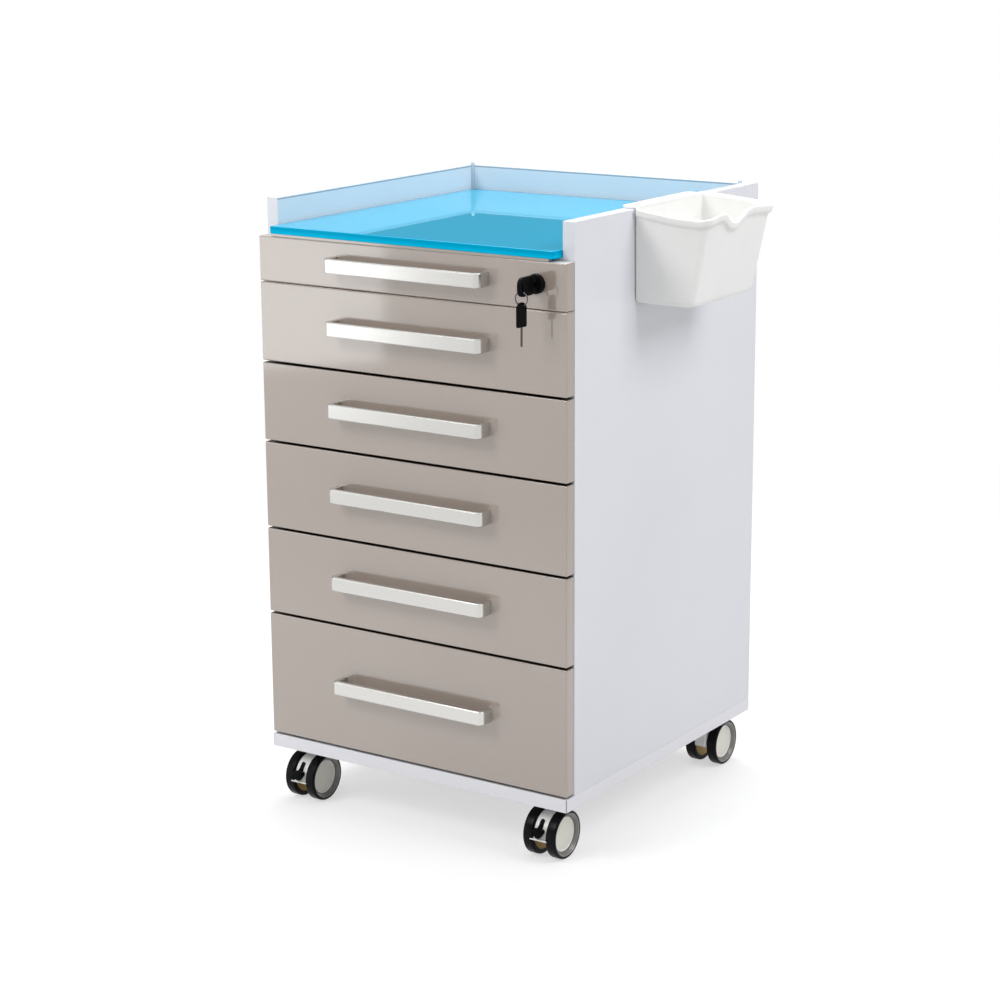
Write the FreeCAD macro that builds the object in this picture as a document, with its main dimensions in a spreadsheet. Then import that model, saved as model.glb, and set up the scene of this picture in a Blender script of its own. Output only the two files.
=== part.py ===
# Mobile dental cabinet: a white carcass on four twin-wheel casters, six glossy drawers on
# telescopic runners, a glass worktop inside a low gallery, a lock with its key and ring in the top
# drawer and a small bin that hangs over the right-hand side panel.
# All lengths are in millimetres. X runs to the right, Y to the back and Z up, and the origin lies
# on the floor under the middle of the cabinet.
import FreeCAD, Part
import os
import re

sizes = {
    # Whole cabinet
    "cabinet_width": 480,
    "cabinet_depth": 490,
    "caster_height": 76,
    "board_thickness": 18,
    "board_rounding": 0.8,
    "panel_corner_radius": 4,
    "overrun": 1,
    # Drawer fronts, and the gaps that show between them
    "front_thickness": 18,
    "front_rounding": 1.6,
    "closing_gap": 0.7,
    "drawer_gap": 3,
    "slim_gap": 1.5,
    "top_front_height": 59.5,
    "shallow_front_height": 105.5,
    "middle_front_height": 117,
    "deep_front_height": 171,
    # Glass worktop and the gallery that stands round it
    "worktop_clearance": 4,
    "worktop_thickness": 10,
    "worktop_side_gap": 0.8,
    "worktop_overhang": 20,
    "worktop_rounding": 1.2,
    "worktop_corner_radius": 3,
    "gallery_rise": 35,
    # Drawer boxes
    "box_board": 12,
    "box_bottom_board": 5,
    "box_bottom_rise": 4,
    "box_lift": 10,
    "box_allowance": 27.5,
    "box_rear_clearance": 29,
    # Telescopic runners
    "runner_space": 13,
    "runner_height": 27,
    "runner_gauge": 1.2,
    "runner_play": 0.4,
    "runner_setback": 10,
    "runner_rear_clearance": 43.3,
    "runner_rise": 16,
    # Handles
    "handle_length": 244,
    "handle_height": 19,
    "handle_standoff": 24,
    "handle_bar": 6,
    "handle_leg": 8,
    "handle_outer_radius": 8,
    "handle_inner_radius": 4,
    "handle_chamfer": 1.2,
    "handle_offset": 4,
    "handle_height_share": 0.534,
    # Lock, its key and the key ring
    "lock_inset": 43.5,
    "lock_flange_radius": 12.5,
    "lock_proud": 6,
    "lock_shell_radius": 9.5,
    "lock_behind": 3,
    "lock_barrel_radius": 6,
    "lock_spigot_radius": 3,
    "lock_notch_margin": 4,
    "tongue_length": 21,
    "tongue_width": 8,
    "tongue_hub_radius": 7,
    "tongue_thickness": 2,
    "tongue_gap": 0.3,
    "tongue_slot_depth": 10,
    "tongue_slot_play": 1.2,
    "running_play": 0.05,
    "key_head_length": 31,
    "key_head_width": 24,
    "key_head_thickness": 5,
    "key_head_radius": 9,
    "key_head_gap": 4.5,
    "key_blade_length": 23,
    "key_blade_width": 6.6,
    "key_blade_thickness": 2,
    "key_play": 0.2,
    "key_eye_length": 14,
    "key_eye_width": 5,
    "key_eye_inset": 7,
    "ring_radius": 8.5,
    "ring_wire_radius": 0.8,
    "ring_play": 0.7,
    # Casters
    "caster_inset_side": 43,
    "caster_inset_end": 52,
    "caster_trail": 20,
    "wheel_diameter": 65,
    "wheel_width": 13.4,
    "wheel_spacing": 33.4,
    "tyre_shoulder": 2.6,
    "hub_radius": 29,
    "hub_lip_radius": 28.2,
    "hub_disc_radius": 24.6,
    "hub_recess": 6.2,
    "hub_rim": 2.4,
    "hub_dish": 0.8,
    "axle_radius": 4,
    "hood_radius": 29.5,
    "hood_drop": 7,
    "hood_gap": 0.7,
    "bush_radius": 12,
    "neck_length": 26,
    "plate_side": 48,
    "plate_thickness": 2.5,
    "cup_radius": 15,
    "cup_height": 5,
    "swivel_gap": 0.4,
    "head_wheel_gap": 0.5,
    "swivel_pin_radius": 5,
    "screw_pitch": 34,
    "screw_radius": 2,
    "screw_head_radius": 3.6,
    "screw_head_height": 1.8,
    "screw_bite": 14,
    # Brake levers of the front casters
    "lever_pad_radius": 35.5,
    "lever_pad_width": 15,
    "lever_pad_start_angle": 162,
    "lever_pad_sweep_angle": 23,
    "lever_stem_radius": 30.5,
    "lever_stem_width": 4.4,
    "lever_stem_start_angle": 138,
    "lever_stem_sweep_angle": 30,
    "lever_inner_radius": 24,
    "lever_slot_radius": 22,
    "lever_side_play": 0.4,
    "lever_slot_margin_angle": 4,
    "lever_pin_radius": 1.6,
    "lever_pin_back": 23.4,
    "lever_pin_up": 13.5,
    # Bin
    "bin_top_width": 115,
    "bin_top_length": 171,
    "bin_bottom_width": 82,
    "bin_bottom_length": 154,
    "bin_height": 122,
    "bin_wall": 2.2,
    "bin_corner_radius": 20,
    "bin_foot_radius": 8,
    "bin_gap": 0.4,
    "bin_rim_reach": 4.5,
    "bin_rim_height": 8,
    "bin_rim_slope_angle": 4.3,
    "bin_rim_trim": 0.1,
    "bin_hook_thickness": 3,
    "bin_hook_lip": 12,
    "bin_notch_radius": 63,
    "bin_notch_depth": 12,
    "bin_notch_offset": 24,
}

doc = FreeCAD.newDocument("dental_cabinet")
sheet = doc.addObject("Spreadsheet::Sheet", "Sizes")
for row, (alias, size) in enumerate(sizes.items(), start=1):
    sheet.set(f"A{row}", alias)
    sheet.set(f"B{row}", str(size))
    sheet.setAlias(f"B{row}", alias)
doc.recompute()

nodes = {}


def formula(text):
    # The same text, with the sheet named before each size
    return re.sub(r"[a-z][a-z_]*", lambda word: f"Sizes.{word.group()}" if word.group() in sizes
                  else word.group(), text)


def minus(text):
    return f"(-({text}))"


def span(side, near, far):
    # Low and high place of something between two distances from the middle, on one side of it
    if side > 0:
        return f"({near})", f"({far})"
    return minus(far), minus(near)


def bind(item, **formulas):
    for name, text in formulas.items():
        item.setExpression(name, formula(text))


def place(item, x, y, z):
    for letter, text in zip("xyz", (x, y, z)):
        item.setExpression(f"Placement.Base.{letter}", formula(text))


def turned(x_to, y_to, z_to):
    # The rotation that sends the three axes of a piece to the directions given
    return FreeCAD.Rotation(FreeCAD.Vector(*x_to), FreeCAD.Vector(*y_to), FreeCAD.Vector(*z_to), "XYZ")


def turn(item, rotation):
    item.Placement = FreeCAD.Placement(FreeCAD.Vector(), rotation)


# Rotations that lay a piece's own Z axis along X, along the opposite way, along Y, or leave it upright
along = {"X": turned((0, 1, 0), (0, 0, 1), (1, 0, 0)), "-X": turned((0, 1, 0), (0, 0, -1), (-1, 0, 0)),
         "Y": turned((1, 0, 0), (0, 0, -1), (0, 1, 0)), "Z": turned((1, 0, 0), (0, 1, 0), (0, 0, 1))}


def box(name, x, y, z):
    item = doc.addObject("Part::Box", name)
    bind(item, Length=f"({x[1]}) - ({x[0]})", Width=f"({y[1]}) - ({y[0]})", Height=f"({z[1]}) - ({z[0]})")
    place(item, x[0], y[0], z[0])
    return item


def cylinder(name, axis, radius, low, high, centre):
    # centre holds the places on the two other axes, in X, Y, Z order
    item = doc.addObject("Part::Cylinder", name)
    turn(item, along[axis])
    bind(item, Radius=radius, Height=f"({high}) - ({low})")
    corner = list(centre)
    corner.insert("XYZ".index(axis), low)
    place(item, *corner)
    return item


def fuse(name, items):
    item = doc.addObject("Part::MultiFuse", name)
    item.Shapes = items
    return item


def cut(name, base, tool):
    item = doc.addObject("Part::Cut", name)
    item.Base = base
    item.Tool = tool
    return item


def group(name, items):
    item = doc.addObject("Part::Compound", name)
    item.Links = items
    return item


def node(label, item):
    item.Label = label
    nodes[label] = item
    return item


def sides_of(edge, block):
    # Names the outer sides of a block that both ends of an edge lie on
    names = (("left", "right"), ("front", "back"), ("bottom", "top"))
    hair = block.BoundBox.DiagonalLength * 1e-6
    found = set()
    for axis, (low_name, high_name) in enumerate(names):
        places = [corner.Point[axis] for corner in block.Vertexes]
        ends = [corner.Point[axis] for corner in edge.Vertexes]
        if max(ends) - min(places) < hair:
            found.add(low_name)
        if max(places) - min(ends) < hair:
            found.add(high_name)
    return found


def round_edges(body, radius, wanted, name, kind="Fillet"):
    # Rounds or chamfers the edges of a body that the test called wanted accepts
    doc.recompute()
    base = body.Tip
    picked = [f"Edge{number}" for number, edge in enumerate(base.Shape.Edges, start=1)
              if wanted(edge, sides_of(edge, base.Shape))]
    feature = body.newObject(f"PartDesign::{kind}", name)
    feature.Base = (base, picked)
    if kind == "Fillet":
        bind(feature, Radius=radius)
    else:
        bind(feature, Size=radius)
    return feature


def block_body(name, x, y, z):
    body = doc.addObject("PartDesign::Body", name)
    block = body.newObject("PartDesign::AdditiveBox", f"{name}_block")
    bind(block, Length=f"({x[1]}) - ({x[0]})", Width=f"({y[1]}) - ({y[0]})", Height=f"({z[1]}) - ({z[0]})")
    place(block, x[0], y[0], z[0])
    return body


def board(name, x, y, z, rounding, faces, corners=(), corner_radius=None):
    # A board whose edges on the named faces are rounded, after a larger rounding of its named corners
    body = block_body(name, x, y, z)
    if corner_radius:
        round_edges(body, corner_radius, lambda edge, sides: sides in corners, f"{name}_corners")
    round_edges(body, rounding, lambda edge, sides: sides & faces, f"{name}_rounding")
    return body


all_faces = {"left", "right", "front", "back", "bottom", "top"}

# Places that several pieces share
half_width = "(cabinet_width/2)"
inner_half = "(cabinet_width/2 - board_thickness)"
front_face = "(-cabinet_depth/2)"
front_back = "(-cabinet_depth/2 + front_thickness)"
carcass_front = "(-cabinet_depth/2 + front_thickness + closing_gap)"
back_face = "(cabinet_depth/2)"
back_inner = "(cabinet_depth/2 - board_thickness)"
base_top = "(caster_height + board_thickness)"
box_half = "(cabinet_width/2 - board_thickness - runner_space)"

front_heights = {6: "deep_front_height", 5: "middle_front_height", 4: "middle_front_height",
                 3: "shallow_front_height", 2: "shallow_front_height", 1: "top_front_height"}
front_low = {}
front_high = {}
level = f"({base_top} + drawer_gap)"
for number, height in front_heights.items():
    front_low[number] = level
    front_high[number] = f"({level} + {height})"
    gap = "slim_gap" if number == 2 else "drawer_gap"
    level = f"({front_high[number]} + {gap})"
worktop_low = f"({front_high[1]} + worktop_clearance)"
worktop_high = f"({worktop_low} + worktop_thickness)"
cabinet_top = f"({worktop_high} + gallery_rise)"
top_board_low = f"({worktop_low} - board_thickness)"

lock_x = "(cabinet_width/2 - lock_inset)"
lock_z = f"({front_low[1]} + top_front_height*handle_height_share)"
shell_end = f"({front_back} + lock_behind)"
tongue_front = f"({shell_end} + tongue_gap)"
tongue_back = f"({tongue_front} + tongue_thickness)"

wheel_centre = "(wheel_diameter/2)"
plate_low = "(caster_height - plate_thickness)"
cup_low = f"({plate_low} - cup_height)"
corners = {"front_left": (-1, -1), "front_right": (1, -1), "back_left": (-1, 1), "back_right": (1, 1)}


def caster_x(side):
    return f"({side}*(cabinet_width/2 - caster_inset_side))"


def swivel_y(end):
    return f"({end}*(cabinet_depth/2 - caster_inset_end))"


def axle_y(end):
    return f"({swivel_y(end)} + {end}*caster_trail)"


def screw_places():
    for side, end in corners.values():
        for across in (-1, 1):
            for deep in (-1, 1):
                yield (f"({caster_x(side)} + {across}*screw_pitch/2)",
                       f"({swivel_y(end)} + {deep}*screw_pitch/2)")


def carcass():
    for side, name in ((-1, "left_side_panel"), (1, "right_side_panel")):
        panel = board(name, span(side, inner_half, half_width), (carcass_front, back_face),
                      (base_top, cabinet_top), "board_rounding", all_faces,
                      ({"top", "back"},), "panel_corner_radius")
        node(name, panel)
    node("back_panel", board("back_panel", span(1, minus(inner_half), inner_half), (back_inner, back_face),
                             (base_top, cabinet_top), "board_rounding", all_faces))
    base = board("base_block", (minus(half_width), half_width), (front_face, back_face),
                 ("caster_height", base_top), "board_rounding", all_faces)
    holes = [cylinder(f"base_hole_{count}", "Z", "screw_radius + running_play", "caster_height - overrun",
                      "caster_height + screw_bite + running_play", place_xy)
             for count, place_xy in enumerate(screw_places())]
    node("base_board", cut("base_board", base, fuse("base_holes", holes)))
    top = block_body("top_block", (minus(inner_half), inner_half), (carcass_front, back_inner),
                     (top_board_low, worktop_low))
    reach = f"({lock_x} + tongue_length)"
    slot = box("tongue_slot", (f"{lock_x} - tongue_length", reach),
               (f"{tongue_front} - tongue_slot_play", f"{tongue_back} + tongue_slot_play"),
               (f"{top_board_low} - overrun", f"{top_board_low} + tongue_slot_depth"))
    node("top_board", cut("top_board", top, slot))
    glass = board("glass_worktop", (f"-({inner_half} - worktop_side_gap)", f"{inner_half} - worktop_side_gap"),
                  (f"{carcass_front} - worktop_overhang", f"{back_inner} - worktop_side_gap"),
                  (worktop_low, worktop_high), "worktop_rounding", {"front", "top"},
                  ({"front", "left"}, {"front", "right"}), "worktop_corner_radius")
    node("glass_worktop", glass)


def channel(name, side, near, far, half_height, number, opens_inwards):
    # One rolled runner member: a long box hollowed out from its open side
    middle = f"({front_low[number]} + box_lift + runner_rise)"
    along_y = (f"({carcass_front} + runner_setback)", f"({back_inner} - runner_rear_clearance)")
    outer = box(f"{name}_outer", span(side, near, far), along_y,
                (f"{middle} - {half_height}", f"{middle} + {half_height}"))
    inside = (f"{near} - overrun", f"{far} - runner_gauge") if opens_inwards else \
        (f"{near} + runner_gauge", f"{far} + overrun")
    hollow = box(f"{name}_hollow", span(side, *inside),
                 (f"{along_y[0]} - overrun", f"{along_y[1]} + overrun"),
                 (f"{middle} - {half_height} + runner_gauge", f"{middle} + {half_height} - runner_gauge"))
    return cut(name, outer, hollow)


def runners():
    # Three members on each side of a drawer, each nested in the one before with the same play
    middle_near = f"({box_half} + runner_gauge + 2*runner_play)"
    middle_far = f"({inner_half} - runner_gauge - runner_play)"
    drawer_far = f"({middle_far} - runner_gauge - runner_play)"
    step = "(runner_gauge + runner_play)"
    cabinet_members = []
    for number in front_heights:
        middle_members = []
        drawer_members = []
        for side, word in ((-1, "left"), (1, "right")):
            name = f"{number}_{word}"
            cabinet_members.append(channel(f"cabinet_member_{name}", side, middle_near, inner_half,
                                           "(runner_height/2)", number, True))
            middle_members.append(channel(f"middle_member_{name}", side, middle_near, middle_far,
                                          f"(runner_height/2 - {step})", number, True))
            drawer_members.append(channel(f"drawer_member_{name}", side, box_half, drawer_far,
                                          f"(runner_height/2 - 2*{step})", number, False))
        node(f"drawer_{number}_middle_runners", group(f"middle_runners_{number}", middle_members))
        node(f"drawer_{number}_inner_runners", group(f"inner_runners_{number}", drawer_members))
    node("cabinet_runners", group("cabinet_runners", cabinet_members))


def drawer_box(number):
    # Four upright boards and a bottom board between them
    low = f"({front_low[number]} + box_lift)"
    high = f"({low} + {front_heights[number]} - box_allowance)"
    ends = (front_back, f"({back_inner} - box_rear_clearance)")
    across = (f"-({box_half} - box_board)", f"{box_half} - box_board")
    boards = {
        "left": (span(-1, f"{box_half} - box_board", box_half), ends, (low, high)),
        "right": (span(1, f"{box_half} - box_board", box_half), ends, (low, high)),
        "front": (across, (ends[0], f"{ends[0]} + box_board"), (low, high)),
        "back": (across, (f"{ends[1]} - box_board", ends[1]), (low, high)),
        "bottom": (across, (f"{ends[0]} + box_board", f"{ends[1]} - box_board"),
                   (f"{low} + box_bottom_rise", f"{low} + box_bottom_rise + box_bottom_board")),
    }
    pieces = []
    for word, (x, y, z) in boards.items():
        piece = box(f"box_{number}_{word}", x, y, z)
        if number == 1 and word in ("right", "front"):
            notch = box(f"lock_notch_{word}", (f"{lock_x} - lock_shell_radius - lock_notch_margin", half_width),
                        (f"{front_back} - overrun", f"{tongue_back} + lock_notch_margin"),
                        (f"{lock_z} - lock_shell_radius - lock_notch_margin", f"{high} + overrun"))
            piece = cut(f"box_{number}_{word}_notched", piece, notch)
        pieces.append(piece)
    node(f"drawer_{number}_box", group(f"box_{number}", pieces))


def handle(number):
    # A flat bar bent to a U, drawn about its own middle and set on the drawer front
    name = f"handle_{number}"
    body = block_body(name, ("-handle_length/2", "handle_length/2"), ("-handle_standoff", "0"),
                      ("-handle_height/2", "handle_height/2"))
    gap = body.newObject("PartDesign::SubtractiveBox", f"{name}_gap")
    bind(gap, Length="handle_length - 2*handle_leg", Width="handle_standoff - handle_bar + overrun",
         Height="handle_height + 2*overrun")
    place(gap, "handle_leg - handle_length/2", "handle_bar - handle_standoff", "-handle_height/2 - overrun")

    def upright(edge):
        return edge.BoundBox.ZLength > edge.BoundBox.XLength + edge.BoundBox.YLength

    round_edges(body, "handle_outer_radius",
                lambda edge, sides: upright(edge) and "front" in sides, f"{name}_outer_bends")
    round_edges(body, "handle_inner_radius",
                lambda edge, sides: upright(edge) and not sides, f"{name}_inner_bends")
    round_edges(body, "handle_chamfer", lambda edge, sides: "front" in sides and sides & {"top", "bottom"},
                f"{name}_arrises", "Chamfer")
    place(body, "handle_offset", front_face,
          f"{front_low[number]} + {front_heights[number]}*handle_height_share")
    node(f"drawer_{number}_handle", body)


def drawers():
    for number in front_heights:
        name = f"front_{number}"
        front = board(name, (minus(half_width), half_width), (front_face, front_back),
                      (front_low[number], front_high[number]), "front_rounding", {"front", "left", "right"})
        if number == 1:
            hole = cylinder("lock_hole", "Y", "lock_shell_radius + running_play", f"{front_face} - overrun",
                            f"{front_back} + overrun", (lock_x, lock_z))
            front = cut("front_1_bored", front, hole)
        node(f"drawer_{number}_front", front)
        drawer_box(number)
        handle(number)


def key(name):
    # A flat key about its own blade axis, with the head at negative X, and then turned to point back
    head = block_body(f"{name}_head", ("-key_head_length", "0"),
                      ("-key_head_thickness/2", "key_head_thickness/2"),
                      ("-key_head_width/2", "key_head_width/2"))
    round_edges(head, "key_head_radius",
                lambda edge, sides: sides in ({"left", "top"}, {"left", "bottom"}), f"{name}_head_corners")
    eye = head.newObject("PartDesign::SubtractiveBox", f"{name}_eye")
    bind(eye, Length="key_eye_width", Width="key_head_thickness + 2*overrun", Height="key_eye_length")
    place(eye, "key_eye_inset - key_eye_width/2 - key_head_length", "-key_head_thickness/2 - overrun",
          "-key_eye_length/2")
    blade = box(f"{name}_blade", ("-overrun", "key_head_gap + key_blade_length"),
                ("-key_blade_thickness/2", "key_blade_thickness/2"),
                ("-key_blade_width/2", "key_blade_width/2"))
    whole = fuse(name, [head, blade])
    turn(whole, turned((0, 1, 0), (-1, 0, 0), (0, 0, 1)))
    return whole


def lock():
    middle = (lock_x, lock_z)
    lock_front = f"({front_face} - lock_proud)"
    flange = cylinder("lock_flange", "Y", "lock_flange_radius", lock_front, front_face, middle)
    shell = cylinder("lock_shell", "Y", "lock_shell_radius", front_face, shell_end, middle)
    bore = cylinder("lock_bore", "Y", "lock_barrel_radius + running_play", f"{lock_front} - overrun",
                    f"{shell_end} + overrun", middle)
    node("lock_housing", cut("lock_housing", fuse("lock_outside", [flange, shell]), bore))
    barrel = cylinder("barrel_core", "Y", "lock_barrel_radius", lock_front, shell_end, middle)
    spigot = cylinder("barrel_spigot", "Y", "lock_spigot_radius", shell_end, tongue_back, middle)
    half_blade = "(key_blade_thickness/2 + key_play)"
    half_width_of_slot = "(key_blade_width/2 + key_play)"
    keyway = box("keyway", (f"{lock_x} - {half_blade}", f"{lock_x} + {half_blade}"),
                 (f"{lock_front} - overrun", f"{lock_front} + key_blade_length + key_play"),
                 (f"{lock_z} - {half_width_of_slot}", f"{lock_z} + {half_width_of_slot}"))
    node("lock_barrel", cut("lock_barrel", fuse("barrel_solid", [barrel, spigot]), keyway))
    hub = cylinder("tongue_hub", "Y", "tongue_hub_radius", tongue_front, tongue_back, middle)
    arm = box("tongue_arm", (lock_x, f"{lock_x} + tongue_length"), (tongue_front, tongue_back),
              (f"{lock_z} - tongue_width/2", f"{lock_z} + tongue_width/2"))
    eye = cylinder("tongue_eye", "Y", "lock_spigot_radius", f"{tongue_front} - overrun",
                   f"{tongue_back} + overrun", middle)
    node("lock_tongue", cut("lock_tongue", fuse("tongue_solid", [hub, arm]), eye))
    key_y = f"({lock_front} - key_head_gap)"
    place(node("lock_key", key("key")), lock_x, key_y, lock_z)
    eye_y = f"({key_y} - key_head_length + key_eye_inset)"
    # The ring's wire lies just above the lower end of the eye
    wire_top = f"({lock_z} - key_eye_length/2 + ring_play + ring_wire_radius)"
    ring = doc.addObject("Part::Torus", "ring")
    bind(ring, Radius1="ring_radius", Radius2="ring_wire_radius")
    turn(ring, along["Y"])
    place(ring, lock_x, eye_y, f"{wire_top} - ring_radius")
    node("key_ring", ring)


def wheel(name, facing, x, y):
    # Tyre and hub of one wheel, drawn about Z with the outer side up and then laid along X
    tyre = doc.addObject("PartDesign::Body", f"{name}_tyre")
    ring = tyre.newObject("PartDesign::AdditiveCylinder", f"{name}_ring")
    bind(ring, Radius="wheel_diameter/2", Height="wheel_width")
    place(ring, "0", "0", "-wheel_width/2")
    round_edges(tyre, "tyre_shoulder", lambda edge, sides: edge.Curve.TypeId == "Part::GeomCircle",
                f"{name}_shoulders")
    seat = tyre.newObject("PartDesign::SubtractiveCylinder", f"{name}_seat")
    bind(seat, Radius="hub_radius", Height="wheel_width + 2*overrun")
    place(seat, "0", "0", "-wheel_width/2 - overrun")
    hub = doc.addObject("PartDesign::Body", f"{name}_hub")
    disc = hub.newObject("PartDesign::AdditiveCylinder", f"{name}_disc")
    bind(disc, Radius="hub_radius", Height="wheel_width")
    place(disc, "0", "0", "-wheel_width/2")
    recess = hub.newObject("PartDesign::SubtractiveCone", f"{name}_recess")
    bind(recess, Radius1="hub_disc_radius", Radius2="hub_lip_radius", Height="hub_recess")
    place(recess, "0", "0", "wheel_width/2 - hub_recess")
    dish = hub.newObject("PartDesign::SubtractiveCylinder", f"{name}_dish")
    bind(dish, Radius="hub_disc_radius - hub_rim", Height="hub_dish + overrun")
    place(dish, "0", "0", "wheel_width/2 - hub_recess - hub_dish")
    for item in (tyre, hub):
        turn(item, along[facing])
        place(item, x, y, wheel_centre)
    return tyre, hub


def pie(name, radius, start, sweep, half_length, x, y):
    # Sector of a disc about a wheel axle: angles run from the back, over the top, to the front
    item = doc.addObject("Part::Cylinder", name)
    turn(item, FreeCAD.Rotation(FreeCAD.Vector(1, 0, 0), start).multiply(along["X"]))
    bind(item, Radius=radius, Height=f"2*({half_length})", Angle=sweep)
    place(item, f"{x} - ({half_length})", y, wheel_centre)
    return item


def caster(word, side, end):
    name = f"caster_{word}"
    x = caster_x(side)
    y = axle_y(end)
    pivot = swivel_y(end)
    half_hood = "(wheel_spacing/2 - wheel_width/2 - hood_gap)"
    hood_x = (f"{x} - {half_hood}", f"{x} + {half_hood}")
    head_top = f"({cup_low} - swivel_gap)"
    head_low = "(wheel_diameter + head_wheel_gap)"
    hood_disc = cylinder(f"{name}_hood_disc", "X", "hood_radius", *hood_x, (y, wheel_centre))
    below = box(f"{name}_below", (f"{hood_x[0]} - overrun", f"{hood_x[1]} + overrun"),
                (f"{y} - hood_radius - overrun", f"{y} + hood_radius + overrun"),
                (f"{wheel_centre} - hood_radius - overrun", f"{wheel_centre} - hood_drop"))
    hood = cut(f"{name}_hood", hood_disc, below)
    bush = cylinder(f"{name}_bush", "X", "bush_radius", *hood_x, (y, wheel_centre))
    neck = box(f"{name}_neck", hood_x, (f"{pivot} - neck_length/2", f"{pivot} + neck_length/2"),
               (wheel_centre, head_top))
    head = cylinder(f"{name}_head", "Z", "cup_radius", head_low, head_top, (x, pivot))
    pin = cylinder(f"{name}_pin", "Z", "swivel_pin_radius", head_top, "caster_height - swivel_gap", (x, pivot))
    solid = fuse(f"{name}_solid", [hood, bush, neck, head, pin])
    bore = cylinder(f"{name}_bore", "X", "axle_radius + running_play", f"{hood_x[0]} - overrun",
                    f"{hood_x[1]} + overrun", (y, wheel_centre))
    housing = cut(f"{name}_bored", solid, bore)
    if end < 0:
        housing = brake(name, housing, hood_x, x, y)
    node(f"{name}_housing", housing)
    wheels = [wheel(f"{name}_{hand}", facing, f"{x} {sign} wheel_spacing/2", y)
              for hand, facing, sign in (("left", "-X", "-"), ("right", "X", "+"))]
    node(f"{name}_tyres", group(f"{name}_tyre_pair", [tyre for tyre, hub in wheels]))
    axle = cylinder(f"{name}_axle", "X", "axle_radius", f"{x} - wheel_spacing/2", f"{x} + wheel_spacing/2",
                    (y, wheel_centre))
    node(f"{name}_hubs", fuse(f"{name}_wheel_set", [axle] + [hub for tyre, hub in wheels]))


def brake(name, housing, hood_x, x, y):
    # A pad on a stem, both curved about the axle: they lie in slots of the hood and turn on a cross pin
    pin_place = (f"{y} - lever_pin_back", f"{wheel_centre} + lever_pin_up")
    slots = []
    arms = []
    for piece in ("pad", "stem"):
        start = sizes[f"lever_{piece}_start_angle"]
        half = f"lever_{piece}_width/2"
        sweep = f"lever_{piece}_sweep_angle"
        arms.append(pie(f"{name}_lever_{piece}", f"lever_{piece}_radius", start, sweep, half, x, y))
        slots.append(pie(f"{name}_{piece}_slot", "hood_radius + overrun",
                         start - sizes["lever_slot_margin_angle"], f"{sweep} + 2*lever_slot_margin_angle",
                         f"{half} + lever_side_play", x, y))
    floor = cylinder(f"{name}_slot_floor", "X", "lever_slot_radius", *hood_x, (y, wheel_centre))
    hollow = cut(f"{name}_slots", fuse(f"{name}_slots_solid", slots), floor)
    slotted = cut(f"{name}_slotted", housing, hollow)
    pin = cylinder(f"{name}_lever_pin", "X", "lever_pin_radius", *hood_x, pin_place)
    inner = cylinder(f"{name}_lever_inner", "X", "lever_inner_radius", *hood_x, (y, wheel_centre))
    eye = cylinder(f"{name}_lever_eye", "X", "lever_pin_radius + running_play", *hood_x, pin_place)
    lever = cut(f"{name}_lever", fuse(f"{name}_lever_solid", arms),
                fuse(f"{name}_lever_hollows", [inner, eye]))
    node(f"brake_lever_{name[len('caster_'):]}", lever)
    return fuse(f"{name}_with_pin", [slotted, pin])


def casters():
    plates = []
    for word, (side, end) in corners.items():
        x = caster_x(side)
        y = swivel_y(end)
        flat = box(f"plate_{word}", (f"{x} - plate_side/2", f"{x} + plate_side/2"),
                   (f"{y} - plate_side/2", f"{y} + plate_side/2"), (plate_low, "caster_height"))
        cup = cylinder(f"cup_{word}", "Z", "cup_radius", cup_low, plate_low, (x, y))
        bore = cylinder(f"cup_bore_{word}", "Z", "swivel_pin_radius + running_play", f"{cup_low} - overrun",
                        "caster_height + overrun", (x, y))
        plates.append(cut(f"plate_bored_{word}", fuse(f"plate_solid_{word}", [flat, cup]), bore))
        caster(word, side, end)
    screws = []
    holes = []
    for count, middle in enumerate(screw_places()):
        shank = cylinder(f"screw_shank_{count}", "Z", "screw_radius", plate_low,
                         "caster_height + screw_bite", middle)
        head = cylinder(f"screw_head_{count}", "Z", "screw_head_radius", f"{plate_low} - screw_head_height",
                        plate_low, middle)
        screws.append(fuse(f"screw_{count}", [shank, head]))
        holes.append(cylinder(f"plate_hole_{count}", "Z", "screw_radius + running_play",
                              f"{plate_low} - overrun", "caster_height + overrun", middle))
    drilled = []
    for count, plate in enumerate(plates):
        own = holes[4*count:4*count + 4]
        drilled.append(cut(f"plate_drilled_{count}", plate, fuse(f"plate_holes_{count}", own)))
    node("caster_plates", group("caster_plates", drilled))
    node("caster_screws", group("caster_screws", screws))


def tapered(name, inset, height, x, y, z):
    # A block that widens upwards, drawn lying down because a wedge tapers along its own Y axis
    body = doc.addObject("PartDesign::Body", name)
    wedge = body.newObject("PartDesign::AdditiveWedge", f"{name}_wedge")
    bind(wedge, Xmin=inset, Xmax=f"bin_bottom_width - {inset}", X2min=inset, X2max=f"bin_top_width - {inset}",
         Ymin="0", Ymax=height, Zmin=f"{inset} - bin_bottom_length/2", Zmax=f"bin_bottom_length/2 - {inset}",
         Z2min=f"{inset} - bin_top_length/2", Z2max=f"bin_top_length/2 - {inset}")
    round_edges(body, f"bin_corner_radius - {inset}",
                lambda edge, sides: edge.BoundBox.YLength > edge.BoundBox.XLength + edge.BoundBox.ZLength,
                f"{name}_corners")
    round_edges(body, f"bin_foot_radius - {inset}", lambda edge, sides: "front" in sides, f"{name}_foot")
    turn(body, turned((1, 0, 0), (0, 0, 1), (0, -1, 0)))
    place(body, x, y, z)
    return body


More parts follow.
